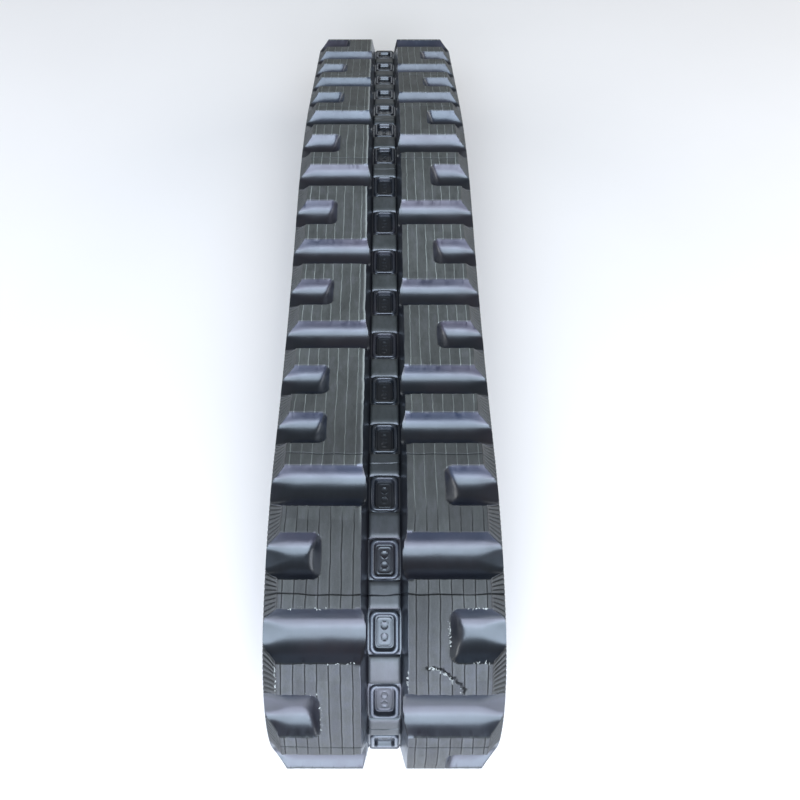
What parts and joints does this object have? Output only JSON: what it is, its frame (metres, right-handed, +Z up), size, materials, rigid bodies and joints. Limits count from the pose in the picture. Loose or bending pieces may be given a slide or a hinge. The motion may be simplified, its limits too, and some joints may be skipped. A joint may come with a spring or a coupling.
{
  "type": "rubber track",
  "caption": "Endless rubber track with C-shaped tread blocks, blind drive windows, steel cord bands and cast core bars with guide horns.",
  "frame": {"origin": "on the floor under the middle of the loop", "axes": "+X across the track to the right, +Y along the track from the wide, high bend to the tight, low bend, +Z up"},
  "size_m": [0.25, 1.3372, 0.3529],
  "materials": {
    "tread_rubber": "semi-gloss moulded black rubber, satin block tops with fine mould lines",
    "carcass_rubber": "satin moulded black rubber",
    "steel_cord": "brass-coated stranded steel cord in a flat band",
    "core_steel": "forged steel, black coated, satin"
  },
  "bodies": {
    "root": {"tread_rubber": "tread_rubber", "carcass_rubber": "carcass_rubber", "cord_band_left": "steel_cord", "cord_band_right": "steel_cord", "core_bar_01": "core_steel", "core_bar_02": "core_steel", "core_bar_03": "core_steel", "core_bar_04": "core_steel", "core_bar_05": "core_steel", "core_bar_06": "core_steel", "core_bar_07": "core_steel", "core_bar_08": "core_steel", "core_bar_09": "core_steel", "core_bar_10": "core_steel", "core_bar_11": "core_steel", "core_bar_12": "core_steel", "core_bar_13": "core_steel", "core_bar_14": "core_steel", "core_bar_15": "core_steel", "core_bar_16": "core_steel", "core_bar_17": "core_steel", "core_bar_18": "core_steel", "core_bar_19": "core_steel", "core_bar_20": "core_steel", "core_bar_21": "core_steel", "core_bar_22": "core_steel", "core_bar_23": "core_steel", "core_bar_24": "core_steel", "core_bar_25": "core_steel", "core_bar_26": "core_steel", "core_bar_27": "core_steel", "core_bar_28": "core_steel", "core_bar_29": "core_steel", "core_bar_30": "core_steel", "core_bar_31": "core_steel", "core_bar_32": "core_steel", "core_bar_33": "core_steel", "core_bar_34": "core_steel", "core_bar_35": "core_steel", "core_bar_36": "core_steel", "core_bar_37": "core_steel", "core_bar_38": "core_steel", "core_bar_39": "core_steel"}
  },
  "joints": []
}
